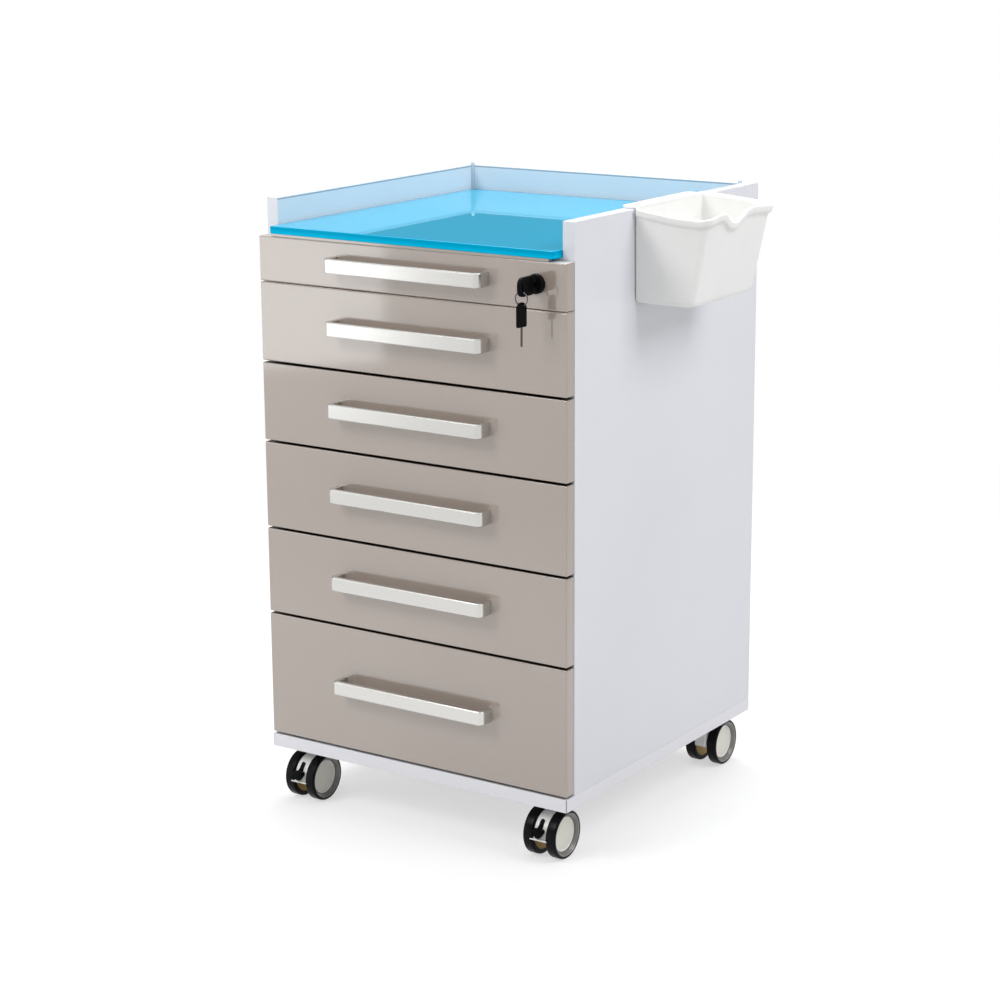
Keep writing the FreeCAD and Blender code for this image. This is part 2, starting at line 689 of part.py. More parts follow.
def bin_piece():
    wall_x = f"({half_width} + bin_gap)"
    hook_low = f"({cabinet_top} + bin_gap)"
    hook_high = f"({hook_low} + bin_hook_thickness)"
    floor_z = f"({hook_high} - bin_height)"
    outside = tapered("bin_outside", "0", "bin_height", wall_x, "0", floor_z)
    rim = doc.addObject("PartDesign::Body", "bin_rim")
    rim_block = rim.newObject("PartDesign::AdditiveBox", "bin_rim_block")
    lean = "bin_rim_height*tan(bin_rim_slope_angle*1deg)"
    bind(rim_block, Length=f"bin_top_width + bin_rim_reach - {lean}", Width="bin_top_length + 2*bin_rim_reach",
         Height="bin_rim_height")
    place(rim_block, lean, "-bin_top_length/2 - bin_rim_reach", "-bin_rim_height")
    round_edges(rim, "bin_corner_radius + bin_rim_reach",
                lambda edge, sides: sides in ({"right", "front"}, {"right", "back"}), "bin_rim_corners")
    above = doc.addObject("Part::Box", "bin_above")
    bind(above, Length="bin_top_width + 2*bin_rim_reach + overrun", Width="bin_top_length + 4*bin_rim_reach",
         Height="bin_height")
    for item in (rim, above):
        turn(item, FreeCAD.Rotation(FreeCAD.Vector(0, 1, 0), sizes["bin_rim_slope_angle"]))
        item.setExpression("Placement.Rotation.Angle", formula("bin_rim_slope_angle"))
    place(rim, wall_x, "0", hook_high)
    place(above, f"{wall_x} - overrun/2", "-bin_top_length/2 - 2*bin_rim_reach", f"{hook_high} + bin_rim_trim")
    cavity = tapered("bin_cavity", "bin_wall", "bin_height + bin_wall", wall_x, "0", f"{floor_z} + bin_wall")
    trimmed = cut("bin_trimmed", outside, above)
    hook_y = ("-bin_top_length/2", "bin_top_length/2")
    hook = box("bin_hook", (f"{inner_half} - bin_gap - bin_hook_thickness", f"{wall_x} + bin_wall"), hook_y,
               (hook_low, hook_high))
    lip = box("bin_lip", (f"{inner_half} - bin_gap - bin_hook_thickness", f"{inner_half} - bin_gap"), hook_y,
              (f"{hook_low} - bin_hook_lip", hook_low))
    shell = cut("bin_shell", fuse("bin_solid", [trimmed, rim]), cavity)
    outer_edge = f"({wall_x} + bin_top_width + bin_rim_reach)"
    drop = f"(({outer_edge} - {wall_x})*tan(bin_rim_slope_angle*1deg))"
    notch = cylinder("bin_notch", "X", "bin_notch_radius", f"{outer_edge} - bin_corner_radius",
                     f"{outer_edge} + overrun",
                     ("-bin_notch_offset", f"{hook_high} - {drop} - bin_notch_depth + bin_notch_radius"))
    node("waste_bin", fuse("waste_bin", [cut("bin_notched", shell, notch), hook, lip]))


carcass()
runners()
drawers()
lock()
casters()
bin_piece()
doc.recompute()

for item in doc.Objects:
    if "Invalid" in item.State or "Error" in item.State:
        raise RuntimeError(f"{item.Label} did not build: {item.State}")
for label, item in nodes.items():
    if item.Shape.isNull() or not item.Shape.isValid() or not item.Shape.Solids:
        raise RuntimeError(f"{label} has no valid shape")

os.makedirs("parts", exist_ok=True)
for label, item in nodes.items():
    item.Shape.exportStep(f"parts/{label}.step")
    bounds = item.Shape.BoundBox
    print(label, len(item.Shape.Solids), "solids, volume", round(item.Shape.Volume), "box",
          [round(bound, 1) for bound in (bounds.XMin, bounds.YMin, bounds.ZMin,
                                         bounds.XMax, bounds.YMax, bounds.ZMax)])
print(len(nodes), "nodes")
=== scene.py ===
import math

import bmesh
import bpy
from mathutils import Matrix, Vector


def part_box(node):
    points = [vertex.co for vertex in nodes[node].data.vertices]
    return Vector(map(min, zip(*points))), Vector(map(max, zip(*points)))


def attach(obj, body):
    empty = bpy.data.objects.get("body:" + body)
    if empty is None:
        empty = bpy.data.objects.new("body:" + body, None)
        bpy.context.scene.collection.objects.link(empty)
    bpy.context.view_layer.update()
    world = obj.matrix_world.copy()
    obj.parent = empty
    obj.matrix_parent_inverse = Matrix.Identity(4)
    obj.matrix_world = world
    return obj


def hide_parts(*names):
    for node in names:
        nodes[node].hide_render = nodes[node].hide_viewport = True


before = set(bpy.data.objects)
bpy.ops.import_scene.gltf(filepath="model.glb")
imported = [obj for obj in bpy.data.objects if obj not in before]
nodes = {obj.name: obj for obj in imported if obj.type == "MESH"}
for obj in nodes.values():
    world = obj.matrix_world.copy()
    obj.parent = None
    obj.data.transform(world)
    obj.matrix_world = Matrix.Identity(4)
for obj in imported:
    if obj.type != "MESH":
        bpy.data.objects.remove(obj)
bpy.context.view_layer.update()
drawers = range(1, 7)  # from the top
mm = 0.001
scene = bpy.context.scene
scene.view_settings.view_transform = "Standard"
print("frame loaded:", len(nodes), "nodes")


# Nodes of materials

class Wire:
    # The output of a node. A sum written with wires adds the Math nodes that it needs.
    def __init__(self, graph, socket):
        self.graph = graph
        self.socket = socket

    def sum(self, operation, first, second):
        return self.graph.add("ShaderNodeMath", {"operation": operation}, {0: first, 1: second})

    def __add__(self, other):
        return self.sum("ADD", self, other)

    def __radd__(self, other):
        return self.sum("ADD", other, self)

    def __sub__(self, other):
        return self.sum("SUBTRACT", self, other)

    def __rsub__(self, other):
        return self.sum("SUBTRACT", other, self)

    def __mul__(self, other):
        return self.sum("MULTIPLY", self, other)

    def __abs__(self):
        return self.sum("ABSOLUTE", self, 0)

    def highest(self, other):
        return self.sum("MAXIMUM", self, other)


class Graph:
    # The nodes of one material, or of the world, and short ways to add to them
    def __init__(self, tree):
        self.tree = tree

    def feed(self, socket, value):
        if isinstance(value, Wire):
            self.tree.links.new(value.socket, socket)
        else:
            socket.default_value = value

    def add(self, kind, settings=None, inputs=None, output=0):
        node = self.tree.nodes.new(kind)
        for name, value in (settings or {}).items():
            setattr(node, name, value)
        for name, value in (inputs or {}).items():
            self.feed(node.inputs[name], value)
        return Wire(self, node.outputs[output])

    def between(self, value, low, high, bottom=0, top=1):
        # A smooth step of value, from bottom at low to top at high
        return self.add("ShaderNodeMapRange", {"interpolation_type": "SMOOTHSTEP"},
                        {0: value, 1: low, 2: high, 3: bottom, 4: top})

    def split(self, vector):
        parts = self.add("ShaderNodeSeparateXYZ", inputs={0: vector})
        return [Wire(self, output) for output in parts.socket.node.outputs]

    def place(self):
        return self.add("ShaderNodeTexCoord", output="Object")


class Finish(Graph):
    # A material with its main shader
    def __init__(self, name, **sockets):
        self.material = bpy.data.materials.new(name)
        self.material.use_nodes = True
        super().__init__(self.material.node_tree)
        self.shader = self.tree.nodes["Principled BSDF"]
        for socket, value in sockets.items():
            self.set(socket, value)

    def set(self, socket, value):
        # roughness or coatWeight stands for the socket Roughness or Coat Weight
        names = {name.lower().replace(" ", ""): name for name in self.shader.inputs.keys()}
        self.feed(self.shader.inputs[names[socket.lower()]], value)

    def noise(self, scale, detail, stretch=(1, 1, 1), roughness=0.5):
        where = self.add("ShaderNodeMapping", inputs={0: self.place(), 3: stretch})
        return self.add("ShaderNodeTexNoise", inputs={
            "Vector": where, "Scale": scale, "Detail": detail, "Roughness": roughness})

    def mix(self, mask, first, second):
        return self.add("ShaderNodeMix", {"data_type": "RGBA"}, {0: mask, 6: first, 7: second}, output=2)

    def drift(self, base, other, scale, amount):
        # A slow change of colour over the surface
        return self.mix(self.between(self.noise(scale, detail=4), 0.3, 0.75)*amount, base, other)

    def bump(self, height, depth):
        # depth is the height of the relief in millimetres
        return self.add("ShaderNodeBump", inputs={"Strength": 1, "Distance": depth*mm, "Height": height})

    def line(self, value, place, width):
        # 1 on a line of the given width about a place, 0 elsewhere, with soft sides
        return 1 - self.between(abs(value - place), width*0.35*mm, width*0.65*mm)


def tone(red, green, blue):
    # A screen colour, 0 to 255, as the shader's own numbers
    def straight(value):
        share = value/255
        return share/12.92 if share <= 0.04045 else ((share + 0.055)/1.055)**2.4
    return (straight(red), straight(green), straight(blue), 1)


# Camera, light and floor

view = {
    "place": (1.83389, -2.76291, 1.23702),  # metres
    "yaw": -0.592138, "pitch": 0.24524, "roll": -0.006289,  # radians
    "lens": 89.04, "sensor": 36,  # millimetres
    "near": 0.05,
}
ambient = 0.46
lamps = {
    "window": {"place": (-2.1, -1.9, 0.8), "aim": (-0.1, -0.2, 0.5), "size": 1.4, "power": 10,
               "colour": (0.97, 0.985, 1)},
    "key": {"place": (-1.1, -2.6, 2.7), "aim": (0, 0, 0.45), "size": 1.2, "power": 40,
            "colour": (1, 0.99, 0.975)},
    "side": {"place": (1.9, 0, 2.2), "aim": (0.2, -0.1, 0.7), "size": 1.2, "power": 25,
             "colour": (0.97, 0.975, 1)},
    "top": {"place": (-0.4, 0.7, 3.0), "aim": (0, 0, 0.8), "size": 1.8, "power": 52,
            "colour": (1, 1, 1)},
}
floorLook = {"half": 60, "glow": 0.54, "own": 0.5, "bounce": 0.63, "near": 0.9, "far": 2.2}
bandLook = {"radius": 6, "low": 1.3, "high": 3.7, "grey": 0.15, "sides": 48}


def buildCamera():
    yaw, pitch, roll = view["yaw"], view["pitch"], view["roll"]
    ahead = Vector((math.sin(yaw)*math.cos(pitch), math.cos(yaw)*math.cos(pitch), -math.sin(pitch)))
    right = Vector((math.cos(yaw), -math.sin(yaw), 0))
    up = right.cross(ahead)
    leanRight = right*math.cos(roll) + up*math.sin(roll)
    leanUp = up*math.cos(roll) - right*math.sin(roll)
    data = bpy.data.cameras.new("camera")
    data.lens = view["lens"]
    data.sensor_width = view["sensor"]
    data.clip_start = view["near"]
    camera = bpy.data.objects.new("camera", data)
    turn = Matrix((leanRight, leanUp, -ahead)).transposed().to_4x4()
    camera.matrix_world = Matrix.Translation(Vector(view["place"])) @ turn
    scene.collection.objects.link(camera)
    scene.camera = camera


def buildLamps():
    for name, settings in lamps.items():
        data = bpy.data.lights.new(name, "AREA")
        data.shape = "SQUARE"
        data.size = settings["size"]
        data.energy = settings["power"]
        data.color = settings["colour"]
        lamp = bpy.data.objects.new(name, data)
        place = Vector(settings["place"])
        lamp.location = place
        lamp.rotation_euler = (Vector(settings["aim"]) - place).to_track_quat("-Z", "Y").to_euler()
        lamp.visible_camera = False
        scene.collection.objects.link(lamp)


def seenRays(graph):
    # 1 for the rays that carry the plain white of the studio, 0 for those that light the object
    camera, glossy, through = [graph.add("ShaderNodeLightPath", output=name) for name in
                               ("Is Camera Ray", "Is Glossy Ray", "Is Transmission Ray")]
    return camera.highest(glossy).highest(through)


def buildWorld():
    world = bpy.data.worlds.new("studio")
    world.use_nodes = True
    scene.world = world
    graph = Graph(world.node_tree)
    background = world.node_tree.nodes["Background"]
    background.inputs["Color"].default_value = (1, 1, 1, 1)
    graph.feed(background.inputs["Strength"], ambient + seenRays(graph)*(1 - ambient))


def stageMesh(name, points, faces, material):
    mesh = bpy.data.meshes.new(name)
    mesh.from_pydata(points, [], faces)
    mesh.materials.append(material)
    piece = bpy.data.objects.new(name, mesh)
    scene.collection.objects.link(piece)
    return piece


def stageMaterial(name):
    material = bpy.data.materials.new(name)
    material.use_nodes = True
    graph = Graph(material.node_tree)
    graph.tree.nodes.remove(graph.tree.nodes["Principled BSDF"])
    return material, graph, graph.tree.nodes["Material Output"].inputs["Surface"]


def buildFloor():
    # The floor takes the object's shadow near it, and goes over to plain white further off
    material, graph, surface = stageMaterial("paleFloor")

    def matt(shade):
        return graph.add("ShaderNodeBsdfDiffuse", inputs={"Color": (shade, shade, shade, 1)})

    def glow(strength):
        return graph.add("ShaderNodeEmission", inputs={"Strength": strength})

    near = graph.add("ShaderNodeAddShader", inputs={
        0: matt(floorLook["own"]), 1: glow(floorLook["glow"])})
    away = graph.add("ShaderNodeVectorMath", {"operation": "LENGTH"}, {0: graph.place()}, output="Value")
    shown = graph.add("ShaderNodeMixShader", inputs={
        0: graph.between(away, floorLook["near"], floorLook["far"]), 1: near, 2: glow(1)})
    graph.feed(surface, graph.add("ShaderNodeMixShader", inputs={
        0: seenRays(graph), 1: matt(floorLook["bounce"]), 2: shown}))
    half = floorLook["half"]
    corners = [(-half, -half, 0), (half, -half, 0), (half, half, 0), (-half, half, 0)]
    stageMesh("floor", corners, [(0, 1, 2, 3)], material)


def buildBand():
    # A grey band all round the studio, above the view. Only gloss shows it, which keeps the glass deep.
    material, graph, surface = stageMaterial("bandGrey")
    graph.feed(surface, graph.add("ShaderNodeEmission", inputs={"Strength": bandLook["grey"]}))
    sides, radius = bandLook["sides"], bandLook["radius"]
    turns = [2*math.pi*step/sides for step in range(sides)]
    ring = [(radius*math.cos(turn), radius*math.sin(turn)) for turn in turns]
    points = [(x, y, level) for level in (bandLook["low"], bandLook["high"]) for x, y in ring]
    afters = [(step + 1) % sides for step in range(sides)]
    faces = [(step, after, sides + after, sides + step) for step, after in enumerate(afters)]
    band = stageMesh("greyBand", points, faces, material)
    for ray in ("visible_camera", "visible_diffuse", "visible_transmission", "visible_shadow"):
        setattr(band, ray, False)


buildCamera()
buildLamps()
buildWorld()
buildFloor()
buildBand()
print("stage built")


# Finishes

def whiteBoard():
    look = {"face": (231, 233, 238), "other": (225, 227, 233), "flow": 3, "change": 0.8,
            "topArrisShade": (150, 156, 164), "topArrisShadeDepth": 2.2, "topArrisShadeWidth": 1.7, "topArrisShadeShare": 0.85,
            "grain": 2600, "relief": 0.01}
    inside = -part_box("left_side_panel")[1].x
    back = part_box("back_panel")[0].y
    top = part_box("right_side_panel")[1].z
    finish = Finish("whiteBoard", roughness=0.36, coatWeight=0.2, coatRoughness=0.12)
    across, deep, high = finish.split(finish.place())
    # The gallery's inner faces have a thin grey line of painted shade just under their top edge, the
    # shade of the rounded arris
    inner = finish.line(abs(across), inside, 1).highest(finish.line(deep, back, 1))
    joint = finish.line(high, top - look["topArrisShadeDepth"]*mm, look["topArrisShadeWidth"])*inner
    base = finish.drift(tone(*look["face"]), tone(*look["other"]), look["flow"], look["change"])
    finish.set("baseColor", finish.mix(joint*look["topArrisShadeShare"], base, tone(*look["topArrisShade"])))
    finish.set("normal", finish.bump(finish.noise(look["grain"], detail=2), look["relief"]))
    return finish


def baseBoard():
    look = {"face": (236, 236, 241), "joint": (140, 138, 146), "arrisShadeWidth": 1.4, "arrisShadeEdge": 0.6,
            "arrisShadeShare": 0.9, "grain": 2600, "relief": 0.01}
    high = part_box("base_board")[1]
    finish = Finish("baseBoard", roughness=0.36, coatWeight=0.2, coatRoughness=0.12)
    across, deep = finish.split(finish.place())[:2]
    # A thin grey line of painted shade runs down each corner of the board, the shade of its rounded arris
    width = look["arrisShadeWidth"]*mm
    nearSide = finish.between(abs(across), high.x - width, high.x - width*look["arrisShadeEdge"])
    nearEnd = finish.between(abs(deep), high.y - width, high.y - width*look["arrisShadeEdge"])
    joint = nearSide*nearEnd*look["arrisShadeShare"]
    finish.set("baseColor", finish.mix(joint, tone(*look["face"]), tone(*look["joint"])))
    finish.set("normal", finish.bump(finish.noise(look["grain"], detail=2), look["relief"]))
    return finish


def boxBoard():
    look = {"face": (222, 222, 225), "other": (211, 211, 214), "flow": 5, "grain": 1800, "relief": 0.015}
    finish = Finish("boxBoard", roughness=0.42)
    finish.set("baseColor", finish.drift(tone(*look["face"]), tone(*look["other"]), look["flow"], 1))
    finish.set("normal", finish.bump(finish.noise(look["grain"], detail=2), look["relief"]))
    return finish


def taupeGloss():
    # In the look, the edge colour is painted shade for the gaps, and the top edge colour is a painted
    # highlight
    look = {"face": (166, 153, 143), "deep": (156, 142, 132), "flow": 2.2, "change": 0.7,
            "fleck": (200, 190, 182), "fleckScale": 5200, "fleckShare": 0.08, "edge": (52, 46, 42),
            "topEdgeHighlight": (226, 217, 209), "paleFrom": 4, "paleFull": 2, "sideEdge": (152, 134, 122),
            "sideShare": 0.8, "wave": 9, "relief": 0.012}
    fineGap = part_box("drawer_2_front")[1].z
    finish = Finish("taupeGloss", roughness=0.32, coatRoughness=0.06, coatIOR=2.0)
    base = finish.drift(tone(*look["face"]), tone(*look["deep"]), look["flow"], look["change"])
    fleck = finish.between(finish.noise(look["fleckScale"], detail=1), 0.55, 0.8)
    face = finish.mix(fleck*look["fleckShare"], base, tone(*look["fleck"]))
    # The top and bottom faces of a front have no coat, and their colour is painted light: a dark edge
    # colour as painted shade in the gaps, and from the fine gap upwards a pale top edge colour as a
    # painted highlight. The side faces take a browner taupe.
    facing = finish.split(finish.add("ShaderNodeNewGeometry", output="True Normal"))
    edge = finish.between(abs(facing[2]), 0.8, 0.95)
    side = finish.between(abs(facing[0]), 0.8, 0.95)
    high = finish.split(finish.place())[2]
    nearTop = finish.between(high, fineGap - look["paleFrom"]*mm, fineGap - look["paleFull"]*mm)
    level = finish.mix(nearTop, tone(*look["edge"]), tone(*look["topEdgeHighlight"]))
    flat = finish.mix(side*look["sideShare"], face, tone(*look["sideEdge"]))
    finish.set("baseColor", finish.mix(edge, flat, level))
    finish.set("coatWeight", 1 - edge)
    finish.set("normal", finish.bump(finish.noise(look["wave"], detail=1), look["relief"]))
    return finish


def blueGlass():
    # A glossy top over sides with painted light: a painted glow, bright at their foot and darker upwards
    look = {"top": (0, 174, 214), "other": (0, 178, 218), "flow": 2, "change": 0.6, "topFrom": 0.9,
            "topFull": 0.2, "edgeLow": (0, 190, 234), "edgeHigh": (0, 166, 212), "riseFrom": 2,
            "riseFull": 3, "edgeCoat": 0.05, "wave": 14, "relief": 0.003}
    low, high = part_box("glass_worktop")
    finish = Finish("blueGlass", roughness=0.4, specularIORLevel=0.0, coatRoughness=0.03, coatIOR=1.55)
    up = finish.split(finish.place())[2]
    rise = finish.between(up, low.z + look["riseFrom"]*mm, high.z - look["riseFull"]*mm)
    side = finish.mix(rise, tone(*look["edgeLow"]), tone(*look["edgeHigh"]))
    top = finish.drift(tone(*look["top"]), tone(*look["other"]), look["flow"], look["change"])
    upper = finish.between(up, high.z - look["topFrom"]*mm, high.z - look["topFull"]*mm)
    finish.set("baseColor", finish.mix(upper, side, top))
    finish.set("coatWeight", upper*(1 - look["edgeCoat"]) + look["edgeCoat"])
    finish.set("normal", finish.bump(finish.noise(look["wave"], detail=1), look["relief"]))
    return finish


def metal(name, colour, roughness, stretch, relief, metallic=1.0):
    # Metal with fine lines: the stretch is small along the lines
    look = {"lines": 1400, "noiseRoughness": 0.6, "darker": 0.92, "contrast": 0.2, "uneven": 0.07}
    finish = Finish(name, metallic=metallic)
    lines = finish.noise(look["lines"], 2, stretch, look["noiseRoughness"])
    darker = tone(*[part*look["darker"] for part in colour])
    mask = finish.between(lines, 0.3, 0.7)*look["contrast"]
    finish.set("baseColor", finish.mix(mask, tone(*colour), darker))
    smooth, rough = roughness*(1 - look["uneven"]), roughness*(1 + look["uneven"])
    finish.set("roughness", finish.between(lines, 0.25, 0.75, smooth, rough))
    finish.set("normal", finish.bump(lines, relief))
    return finish


def moulded(name, colour, other, roughness, grain=1500, relief=0.008, coat=0.0, drift=14, gleam=0.5):
    # Moulded plastic with a fine grain
    look = {"coatRoughness": 0.15, "change": 0.8}
    finish = Finish(name, roughness=roughness, coatWeight=coat, coatRoughness=look["coatRoughness"],
                    specularIORLevel=gleam)
    finish.set("baseColor", finish.drift(tone(*colour), tone(*other), drift, look["change"]))
    finish.set("normal", finish.bump(finish.noise(grain, detail=2), relief))
    return finish


finishes = {
    "board": whiteBoard(),
    "base": baseBoard(),
    "box": boxBoard(),
    "front": taupeGloss(),
    "glass": blueGlass(),
    "handle": metal("handleMetal", (210, 209, 206), 0.24, (0.015, 1, 1), 0.0008),
    "runner": metal("runnerSteel", (192, 194, 196), 0.3, (1, 0.03, 1), 0.002),
    "plate": metal("plateSteel", (176, 178, 180), 0.35, (0.2, 1, 1), 0.003),
    "brass": metal("hubBrass", (160, 130, 70), 0.42, (1, 1, 1), 0.003, 0.7),
    "lockSteel": metal("lockSteel", (96, 91, 87), 0.3, (1, 0.1, 1), 0.002),
    "ring": metal("ringWire", (104, 104, 106), 0.2, (1, 1, 1), 0.0005),
    "bead": moulded("beadPale", (200, 210, 218), (192, 203, 212), 0.3, coat=0.3),
    "lock": moulded("lockBlack", (8, 8, 9), (12, 12, 13), 0.3, gleam=0.07),
    "key": moulded("keyBlack", (9, 9, 10), (14, 14, 15), 0.36, grain=2400, gleam=0.05),
    "bin": moulded("binMilk", (246, 246, 244), (242, 242, 240), 0.4, grain=2000, relief=0.006, coat=0.1),
    "disc": moulded("discCream", (238, 236, 224), (231, 229, 216), 0.3, coat=0.2),
    "rim": moulded("rimPale", (252, 252, 249), (248, 248, 244), 0.25, coat=0.4),
    "wall": moulded("hubGrey", (150, 146, 141), (138, 134, 130), 0.28, coat=0.5),
    "hood": moulded("hoodWhite", (243, 243, 240), (236, 236, 232), 0.3, coat=0.3),
    "tyre": moulded("tyreRubber", (9, 9, 11), (15, 15, 17), 0.3, grain=700, relief=0.01, drift=60,
                    gleam=0.1),
    "lever": moulded("leverBlack", (7, 7, 9), (11, 11, 13), 0.34, gleam=0.05),
}
print("finishes made:", len(finishes))


# Mesh helpers: each form is a pair of points and faces, in millimetres

core = 0.05  # the least radius of a lathe, at its axis
weld = 0.002  # points nearer than this become one
bevelFrom = 30  # degrees


def solid(name, forms, finish, body, stands=(), crease=30):
    points, faces = [], []
    for formPoints, formFaces in forms:
        start = len(points)
        points += [Vector(point)*mm for point in formPoints]
        faces += [[start + index for index in face] for face in formFaces]
    mesh = bpy.data.meshes.new(name)
    mesh.from_pydata(points, [], faces)
    shape = bmesh.new()
    shape.from_mesh(mesh)
    bmesh.ops.remove_doubles(shape, verts=shape.verts, dist=weld*mm)
    bmesh.ops.recalc_face_normals(shape, faces=shape.faces)
    shape.to_mesh(mesh)
    shape.free()
    mesh.shade_smooth()
    mesh.set_sharp_from_angle(angle=math.radians(crease))
    mesh.materials.append(finishes[finish].material)
    piece = bpy.data.objects.new(name, mesh)
    scene.collection.objects.link(piece)
    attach(piece, body)
    if stands:
        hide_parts(*stands)
    return piece


def softEdges(piece, width, steps=2):
    bevel = piece.modifiers.new("softEdges", "BEVEL")
    bevel.width = width*mm
    bevel.segments = steps
    bevel.limit_method = "ANGLE"
    bevel.angle_limit = math.radians(bevelFrom)
    bevel.harden_normals = True


def loft(rings, looped=False):
    # Skins a row of rings that have the same number of points; an open row gets a cap at each end
    count = len(rings[0])
    points = [point for ring in rings for point in ring]
    faces = []
    for number in range(len(rings) if looped else len(rings) - 1):
        here, there = number*count, (number + 1) % len(rings)*count
        for index in range(count):
            after = (index + 1) % count
            faces.append([here + index, here + after, there + after, there + index])
    if not looped:
        faces.append(list(range(count))[::-1])
        faces.append([(len(rings) - 1)*count + index for index in range(count)])
    return points, faces


def lathe(profile, centre, axis, way, steps, closed=False):
    # profile holds (radius, distance along the axis) pairs
    order = {"X": (0, 1, 2), "Y": (1, 0, 2), "Z": (2, 0, 1)}[axis]
    rings = []
    for radius, along in profile:
        ring = []
        for step in range(steps):
            angle = 2*math.pi*step/steps
            point = Vector(centre)
            for part, value in zip(order, (way*along, radius*math.cos(angle), radius*math.sin(angle))):
                point[part] += value
            ring.append(point)
        rings.append(ring)
    return loft(rings, closed)


def rounded(corners, radii, steps=6):
    # A closed outline whose corners are arcs, each with its own radius
    outline = []
    count = len(corners)
    for index, (corner, radius) in enumerate(zip(corners, radii)):
        here = Vector(corner)
        before = (Vector(corners[index - 1]) - here).normalized()
        after = (Vector(corners[(index + 1) % count]) - here).normalized()
        if radius <= 0:
            outline.append(here)
            continue
        half = before.angle(after)/2
        reach = radius/math.tan(half)
        middle = here + (before + after).normalized()*radius/math.sin(half)
        start, end = here + before*reach - middle, here + after*reach - middle
        sweep = math.atan2(start.x*end.y - start.y*end.x, start.dot(end))
        for step in range(steps + 1):
            outline.append(middle + Matrix.Rotation(sweep*step/steps, 2) @ start)
    return outline


def arc(radius, start, end, steps):
    # Points on a circle between two angles in degrees
    angles = [math.radians(start + (end - start)*step/steps) for step in range(steps + 1)]
    return [Vector((radius*math.cos(angle), radius*math.sin(angle))) for angle in angles]


def prism(outline, low, high, lift):
    # An outline pushed from low to high, where lift gives the place of one of its points at a level
    return loft([[lift(point, level) for point in outline] for level in (low, high)])


def block(first, second):
    # A plain brick between two opposite corners
    low, high = [[pick(pair) for pair in zip(first, second)] for pick in (min, max)]
    ring = [Vector(point) for point in
            ((low[0], low[1]), (high[0], low[1]), (high[0], high[1]), (low[0], high[1]))]
    return prism(ring, low[2], high[2], lambda point, level: (point.x, point.y, level))


def middleOf(node):
    low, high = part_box(node)
    return (low + high)/2/mm


# Gallery

def buildBeads():
    # A thin round bead stands in each back corner of the gallery, with its domed end above the boards
    bead = {"radius": 2.8, "inset": 0.6, "above": 4.6, "below": 0.3, "dome": 5, "steps": 32}
    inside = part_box("right_side_panel")[0].x/mm - bead["inset"]
    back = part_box("back_panel")[0].y/mm - bead["inset"]
    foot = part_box("glass_worktop")[1].z/mm - bead["below"]
    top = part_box("right_side_panel")[1].z/mm + bead["above"]
    radius = bead["radius"]
    turns = [math.pi/2*step/bead["dome"] for step in range(bead["dome"])]
    dome = [(radius*math.cos(turn), top - radius + radius*math.sin(turn)) for turn in turns]
    profile = [(radius, foot)] + dome + [(core, top)]
    beads = [lathe(profile, (way*inside, back, 0), "Z", 1, bead["steps"]) for way in (-1, 1)]
    solid("galleryBeads", beads, "bead", "root", crease=50)


def buildSeal():
    # A lacquered strip closes the slit between the glass and the top drawer's front
    seal = {"setBack": 0.4, "overFront": 0.4, "underGlass": 0.05, "left": 1, "right": 8, "deep": 8,
            "soft": 0.2}
    low, high = [corner/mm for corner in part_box("glass_worktop")]
    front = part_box("drawer_1_front")
    face, shelf = front[0].y/mm + seal["setBack"], front[1].z/mm + seal["overFront"]
    strip = block((low.x + seal["left"], face, shelf),
                  (high.x - seal["right"], face + seal["deep"], low.z - seal["underGlass"]))
    piece = solid("worktopSeal", [strip], "front", "root")
    softEdges(piece, seal["soft"])


buildBeads()
buildSeal()
print("gallery built")


# Handles

def buildHandle(number):
    bar = {"height": 19, "bar": 6, "leg": 8, "outerBend": 8, "innerBend": 4, "chamfer": 1.3,
           "inside": 0.4, "soft": 0.35, "steps": 12}
    node = f"drawer_{number}_handle"
    low, high = [corner/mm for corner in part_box(node)]
    middle = (low + high)/2
    outer = rounded([(low.x, high.y), (low.x, low.y), (high.x, low.y), (high.x, high.y)],
                    [0, bar["outerBend"], bar["outerBend"], 0], bar["steps"])
    inner = rounded([(low.x + bar["leg"], high.y), (low.x + bar["leg"], low.y + bar["bar"]),
                     (high.x - bar["leg"], low.y + bar["bar"]), (high.x - bar["leg"], high.y)],
                    [0, bar["innerBend"], bar["innerBend"], 0], bar["steps"])
    half = bar["height"]/2
    rings = []
    for outside, inside in zip(outer, inner):
        inwards = (inside - outside).normalized()
        chamfered, eased = outside + inwards*bar["chamfer"], inside - inwards*bar["inside"]
        section = [(outside, half - bar["chamfer"]), (chamfered, half), (eased, half),
                   (inside, half - bar["inside"])]
        ring = section + [(point, -level) for point, level in reversed(section)]
        rings.append([(point.x, point.y, middle.z + level) for point, level in ring])
    piece = solid(f"handle{number}", [loft(rings)], "handle", f"drawer_{number}", [node])
    softEdges(piece, bar["soft"])


for number in drawers:
    buildHandle(number)
print("handles built")


# Casters

casters = {"frontLeft": "front_left", "frontRight": "front_right",
           "backLeft": "back_left", "backRight": "back_right"}


